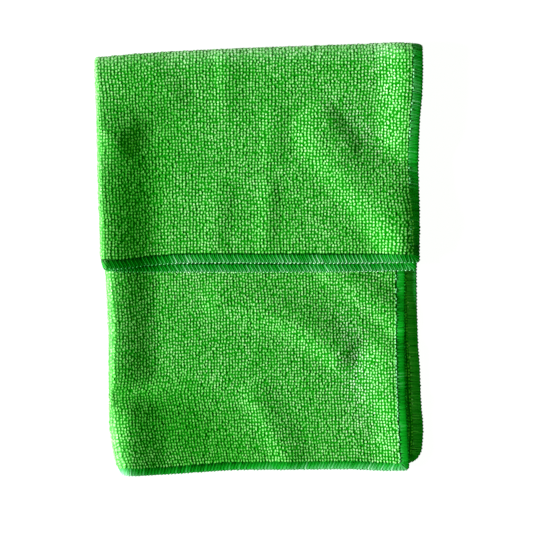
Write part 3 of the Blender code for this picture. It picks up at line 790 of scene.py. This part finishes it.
def pile_material():
    material, nodes, links, shader = node_material("microfibre_pile")
    grain = nodes.new("ShaderNodeAttribute")
    grain.attribute_name = "grain"
    parts = nodes.new("ShaderNodeSeparateXYZ")
    links.new(grain.outputs["Vector"], parts.inputs["Vector"])
    place = nodes.new("ShaderNodeTexCoord")
    fibres = nodes.new("ShaderNodeTexNoise")
    fibres.inputs["Scale"].default_value = 1050.0
    fibres.inputs["Detail"].default_value = 2.0
    links.new(place.outputs["Object"], fibres.inputs["Vector"])
    # how far up the loop, with some loops paler than others and single fibres showing
    tint = nodes.new("ShaderNodeMath")
    tint.operation = "MULTIPLY_ADD"
    tint.inputs[1].default_value = 0.17
    tint.inputs[2].default_value = -0.085
    links.new(parts.outputs["Y"], tint.inputs[0])
    patch = nodes.new("ShaderNodeMath")
    patch.operation = "MULTIPLY_ADD"
    patch.inputs[1].default_value = 0.16
    patch.inputs[2].default_value = -0.08
    links.new(parts.outputs["Z"], patch.inputs[0])
    fibre = nodes.new("ShaderNodeMath")
    fibre.operation = "MULTIPLY_ADD"
    fibre.inputs[1].default_value = 0.56
    fibre.inputs[2].default_value = -0.28
    links.new(fibres.outputs["Fac"], fibre.inputs[0])
    one, two, three = (nodes.new("ShaderNodeMath") for _ in range(3))
    for node, first, second in ((one, parts.outputs["X"], tint.outputs[0]), (two, one.outputs[0], patch.outputs[0]), (three, two.outputs[0], fibre.outputs[0])):
        node.operation = "ADD"
        links.new(first, node.inputs[0])
        links.new(second, node.inputs[1])
    # darker towards the roots, which paints the shade between the loops, and paler at the tips
    colour = ramp(nodes, ((0.0, (0.002, 0.20, 0.001)), (0.36, (0.006, 0.245, 0.003)), (0.50, (0.032, 0.335, 0.019)), (0.64, (0.145, 0.475, 0.105)), (0.82, (0.425, 0.71, 0.325))))
    stretch = nodes.new("ShaderNodeMath")
    stretch.operation = "MULTIPLY"
    stretch.inputs[1].default_value = 1 / 1.3
    links.new(three.outputs[0], stretch.inputs[0])
    links.new(stretch.outputs[0], colour.inputs["Fac"])
    links.new(with_painted_light_and_shade(nodes, links, colour.outputs["Color"]), shader.inputs["Base Color"])
    shader.inputs["Roughness"].default_value = 0.6
    shader.inputs["Specular IOR Level"].default_value = 0.12
    shader.inputs["Specular Tint"].default_value = (0.35, 1.0, 0.35, 1.0)
    shader.inputs["Sheen Weight"].default_value = 0.03
    shader.inputs["Sheen Roughness"].default_value = 0.5
    shader.inputs["Sheen Tint"].default_value = (0.5, 1.0, 0.4, 1.0)
    bump = nodes.new("ShaderNodeBump")
    bump.inputs["Strength"].default_value = 0.55
    bump.inputs["Distance"].default_value = 0.00012
    links.new(fibres.outputs["Fac"], bump.inputs["Height"])
    links.new(bump.outputs["Normal"], shader.inputs["Normal"])
    return material


def ground_material():
    """Knitted ground between the loops, and the fabric of the edge under its threads."""
    material, nodes, links, shader = node_material("microfibre_ground")
    measure = nodes.new("ShaderNodeAttribute")
    measure.attribute_name = "cloth_mm"
    parts = nodes.new("ShaderNodeSeparateXYZ")
    links.new(measure.outputs["Vector"], parts.inputs["Vector"])
    wales = nodes.new("ShaderNodeTexWave")
    wales.wave_type, wales.bands_direction = "BANDS", "X"
    wales.inputs["Scale"].default_value = 1 / WALE * 2 * math.pi / 20.0 * 10
    wales.inputs["Distortion"].default_value = 0.6
    wales.inputs["Detail"].default_value = 1.0
    links.new(measure.outputs["Vector"], wales.inputs["Vector"])
    courses = nodes.new("ShaderNodeTexWave")
    courses.wave_type, courses.bands_direction = "BANDS", "Y"
    courses.inputs["Scale"].default_value = 1 / COURSE * 2 * math.pi / 20.0 * 10
    courses.inputs["Distortion"].default_value = 0.8
    links.new(measure.outputs["Vector"], courses.inputs["Vector"])
    knit = nodes.new("ShaderNodeMath")
    knit.operation = "MULTIPLY"
    links.new(wales.outputs["Fac"], knit.inputs[0])
    links.new(courses.outputs["Fac"], knit.inputs[1])
    colour = ramp(nodes, ((0.0, (0.002, 0.205, 0.001)), (0.6, (0.003, 0.235, 0.002)), (1.0, (0.006, 0.27, 0.003))))
    links.new(knit.outputs[0], colour.inputs["Fac"])
    edge_colour = ramp(nodes, ((0.0, (0.000, 0.15, 0.003)), (1.0, (0.001, 0.21, 0.008))))
    links.new(knit.outputs[0], edge_colour.inputs["Fac"])
    in_edge = nodes.new("ShaderNodeMapRange")
    in_edge.inputs["From Min"].default_value = 5.2
    in_edge.inputs["From Max"].default_value = 4.9
    links.new(parts.outputs["Z"], in_edge.inputs["Value"])
    mix = nodes.new("ShaderNodeMix")
    mix.data_type = "RGBA"
    links.new(in_edge.outputs["Result"], mix.inputs[0])
    links.new(colour.outputs["Color"], mix.inputs[6])
    links.new(edge_colour.outputs["Color"], mix.inputs[7])
    # the seam's groove is coloured a deep dark green: painted shade in the groove, over its real dip in the ground
    groove = nodes.new("ShaderNodeValToRGB")
    for element, (place, shade) in zip([groove.color_ramp.elements[0], groove.color_ramp.elements.new(0.44), groove.color_ramp.elements.new(0.56), groove.color_ramp.elements[-1]],
                                       ((0.42, 0.0), (0.46, 1.0), (0.56, 1.0), (0.59, 0.0))):
        element.position = place
        element.color = (shade, shade, shade, 1.0)
    tenth = nodes.new("ShaderNodeMath")
    tenth.operation = "MULTIPLY"
    tenth.inputs[1].default_value = 0.1
    links.new(parts.outputs["Z"], tenth.inputs[0])
    links.new(tenth.outputs[0], groove.inputs["Fac"])
    deep = nodes.new("ShaderNodeMix")
    deep.data_type = "RGBA"
    links.new(groove.outputs["Color"], deep.inputs[0])
    links.new(mix.outputs[2], deep.inputs[6])
    deep.inputs[7].default_value = (0.0, 0.065, 0.001, 1.0)
    # paler on the folds: partly wear, partly painted light on them
    worn_and_lit = nodes.new("ShaderNodeAttribute")
    worn_and_lit.attribute_name = "worn_and_lit"
    worn_and_lit_mix = nodes.new("ShaderNodeMix")
    worn_and_lit_mix.data_type = "RGBA"
    half_worn_and_lit = nodes.new("ShaderNodeMath")
    half_worn_and_lit.operation = "MULTIPLY"
    half_worn_and_lit.inputs[1].default_value = 0.75
    links.new(worn_and_lit.outputs["Fac"], half_worn_and_lit.inputs[0])
    links.new(half_worn_and_lit.outputs[0], worn_and_lit_mix.inputs[0])
    links.new(deep.outputs[2], worn_and_lit_mix.inputs[6])
    worn_and_lit_mix.inputs[7].default_value = (0.20, 0.54, 0.18, 1.0)
    links.new(with_painted_light_and_shade(nodes, links, worn_and_lit_mix.outputs[2]), shader.inputs["Base Color"])
    shader.inputs["Roughness"].default_value = 0.9
    shader.inputs["Specular IOR Level"].default_value = 0.08
    shader.inputs["Specular Tint"].default_value = (0.3, 1.0, 0.3, 1.0)
    bump = nodes.new("ShaderNodeBump")
    bump.inputs["Strength"].default_value = 0.8
    bump.inputs["Distance"].default_value = 0.0003
    links.new(knit.outputs[0], bump.inputs["Height"])
    links.new(bump.outputs["Normal"], shader.inputs["Normal"])
    return material


def thread_material():
    """Textured thread, a little bluer than the pile."""
    material, nodes, links, shader = node_material("overlock_thread")
    thread = nodes.new("ShaderNodeAttribute")
    thread.attribute_name = "thread"
    parts = nodes.new("ShaderNodeSeparateXYZ")
    links.new(thread.outputs["Vector"], parts.inputs["Vector"])
    place = nodes.new("ShaderNodeTexCoord")
    fibres = nodes.new("ShaderNodeTexNoise")
    fibres.inputs["Scale"].default_value = 3200.0
    fibres.inputs["Detail"].default_value = 2.0
    links.new(place.outputs["Object"], fibres.inputs["Vector"])
    add = nodes.new("ShaderNodeMath")
    add.operation = "ADD"
    links.new(parts.outputs["Y"], add.inputs[0])
    links.new(fibres.outputs["Fac"], add.inputs[1])
    vary = nodes.new("ShaderNodeMath")
    vary.operation = "MULTIPLY_ADD"
    vary.inputs[1].default_value = 0.22
    vary.inputs[2].default_value = -0.22
    links.new(add.outputs[0], vary.inputs[0])
    outward = nodes.new("ShaderNodeMath")
    outward.operation = "MULTIPLY_ADD"
    outward.inputs[1].default_value = 0.40
    outward.inputs[2].default_value = -0.24
    links.new(parts.outputs["X"], outward.inputs[0])
    both = nodes.new("ShaderNodeMath")
    both.operation = "ADD"
    links.new(vary.outputs[0], both.inputs[0])
    links.new(outward.outputs[0], both.inputs[1])
    pale = nodes.new("ShaderNodeMath")
    pale.operation = "ADD"
    links.new(both.outputs[0], pale.inputs[0])
    links.new(parts.outputs["Z"], pale.inputs[1])
    colour = ramp(nodes, ((0.0, (0.000, 0.05, 0.000)), (0.10, (0.000, 0.13, 0.001)), (0.35, (0.002, 0.24, 0.009)), (0.60, (0.055, 0.335, 0.085)), (0.80, (0.19, 0.50, 0.23)), (1.0, (0.44, 0.73, 0.45))))
    links.new(pale.outputs[0], colour.inputs["Fac"])
    links.new(colour.outputs["Color"], shader.inputs["Base Color"])
    shader.inputs["Roughness"].default_value = 0.6
    shader.inputs["Specular IOR Level"].default_value = 0.12
    shader.inputs["Specular Tint"].default_value = (0.3, 1.0, 0.45, 1.0)
    bump = nodes.new("ShaderNodeBump")
    bump.inputs["Strength"].default_value = 0.5
    bump.inputs["Distance"].default_value = 0.0001
    links.new(fibres.outputs["Fac"], bump.inputs["Height"])
    links.new(bump.outputs["Normal"], shader.inputs["Normal"])
    return material


# ---------------------------------------------------------------- put together
sheet = ground()
sheet.data.materials.append(ground_material())

pile_look = pile_material()
thread_look = thread_material()


def lower_front(u, v, place):
    return (u < 1.0) & (v < 1.0) & (place[:, 1] < 5.0)


def folds(u, v, place):
    return (u >= 1.0) & (u < 2.0)


def flap_top_left(u, v, place):
    return (u >= 2.0) & (v >= 1.0) & (place[:, 0] < 0)


def flap_top_right(u, v, place):
    return (u >= 2.0) & (v >= 1.0) & (place[:, 0] >= 0)


def underside(u, v, place):
    return (u >= 2.0) & (v < 1.0)


def margins(u, v, place):
    back = (u > 2.0) & (v < 1.0) & (place[:, 0] > 87.0)
    front = (u < 1.0) & (v > 2.0) & (place[:, 1] < 2.0)
    mouths = (u < 1.0) & (v < 1.0) & (place[:, 1] < -122.0)
    return back | front | mouths


all_outside, all_inside = sites(11), sites(21)


def outside(wanted):
    at, place = all_outside
    return at[wanted(at[:, 0], at[:, 1], place)]


def inside(wanted):
    at, place = all_inside
    return at[wanted(at[:, 0], at[:, 1], place)]


pieces = [
    pile("pile_front", 11, 1, outside(lower_front), GRAIN),
    pile("pile_folds", 13, 1, outside(folds), GRAIN),
    pile("pile_flap_left", 14, 1, outside(flap_top_left), GRAIN),
    pile("pile_flap_right", 15, 1, outside(flap_top_right), GRAIN),
    pile("pile_underside", 16, 1, outside(underside), PLAIN_GRAIN, width=0.95, length=1.1, tall=0.96, wild=0.6),
    # the inner pile showing in the margins is set much darker: painted shade under the layers above
    pile("pile_margins", 17, -1, inside(margins), GRAIN, pale=-1.8),
]
for piece in pieces:
    piece.data.materials.append(pile_look)

stitching = [overlock(number, *row) for number, row in enumerate(EDGES)]
for piece in stitching:
    piece.data.materials.append(thread_look)

for piece in [sheet, *pieces, *stitching]:
    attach(piece, "root")
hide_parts("cloth")

# ---------------------------------------------------------------- stage, light and camera
FLOOR_SIZE = 12.0
floor_mesh = bpy.data.meshes.new("floor")
floor_mesh.from_pydata(
    [(-FLOOR_SIZE, -FLOOR_SIZE, 0), (FLOOR_SIZE, -FLOOR_SIZE, 0), (FLOOR_SIZE, FLOOR_SIZE, 0), (-FLOOR_SIZE, FLOOR_SIZE, 0)], [], [(0, 1, 2, 3)]
)
floor = bpy.data.objects.new("floor", floor_mesh)
bpy.context.scene.collection.objects.link(floor)
floor_material, nodes, links, shader = node_material("white_floor")
shader.inputs["Base Color"].default_value = (0.09, 0.09, 0.09, 1.0)
shader.inputs["Roughness"].default_value = 0.9
shader.inputs["Specular IOR Level"].default_value = 0.0
shader.inputs["Emission Color"].default_value = (1.0, 1.0, 1.0, 1.0)
shader.inputs["Emission Strength"].default_value = 0.98
floor.data.materials.append(floor_material)

KEY_ELEVATION, KEY_AZIMUTH = 22.0, 8.0  # degrees: over the table, and from the picture's left towards its foot
key_data = bpy.data.lights.new("key", "SUN")
key_data.energy = 10.75
key_data.angle = math.radians(14)
key_data.color = (1.08, 1.0, 1.20)
key = bpy.data.objects.new("key", key_data)
key.rotation_euler = (0.0, 0.0, 0.0)
bpy.context.scene.collection.objects.link(key)
elevation, turn = math.radians(KEY_ELEVATION), math.radians(180 + KEY_AZIMUTH)
from mathutils import Vector

towards = Vector((math.cos(turn) * math.cos(elevation), math.sin(turn) * math.cos(elevation), math.sin(elevation)))
key.rotation_mode = "QUATERNION"
key.rotation_quaternion = towards.to_track_quat("Z", "Y")

world = bpy.data.worlds.new("studio")
bpy.context.scene.world = world
world.use_nodes = True
world.node_tree.nodes["Background"].inputs["Color"].default_value = (0.35, 1.0, 0.30, 1.0)
world.node_tree.nodes["Background"].inputs["Strength"].default_value = 0.06

# a wide soft light overhead, a little green as after many bounces between cloths
fill_data = bpy.data.lights.new("fill", "AREA")
fill_data.shape = "SQUARE"
fill_data.size = 1.6
fill_data.energy = 7.2
fill_data.color = (0.34, 1.0, 0.10)
fill = bpy.data.objects.new("fill", fill_data)
fill.location = (0.0, 0.0, 1.2)
bpy.context.scene.collection.objects.link(fill)

MM_PER_PIXEL = 0.635  # of the picture, which is 533 pixels wide and high
CAMERA_HEIGHT = 3000.0
camera_data = bpy.data.cameras.new("camera")
camera_data.type = "PERSP"
camera_data.sensor_fit = "HORIZONTAL"
camera_data.sensor_width = 36.0
camera_data.lens = 36.0 * (CAMERA_HEIGHT - 8.0) / (533 * MM_PER_PIXEL)
camera_data.clip_start, camera_data.clip_end = 0.1, 20.0
camera = bpy.data.objects.new("camera", camera_data)
camera.location = ((8.5 * MM_PER_PIXEL - CENTRE[0]) * 0.001, (-8.0 * MM_PER_PIXEL - CENTRE[1]) * 0.001, CAMERA_HEIGHT * 0.001)
bpy.context.scene.collection.objects.link(camera)
bpy.context.scene.camera = camera

bpy.context.scene.view_settings.view_transform = "Standard"
bpy.context.scene.view_settings.look = "None"
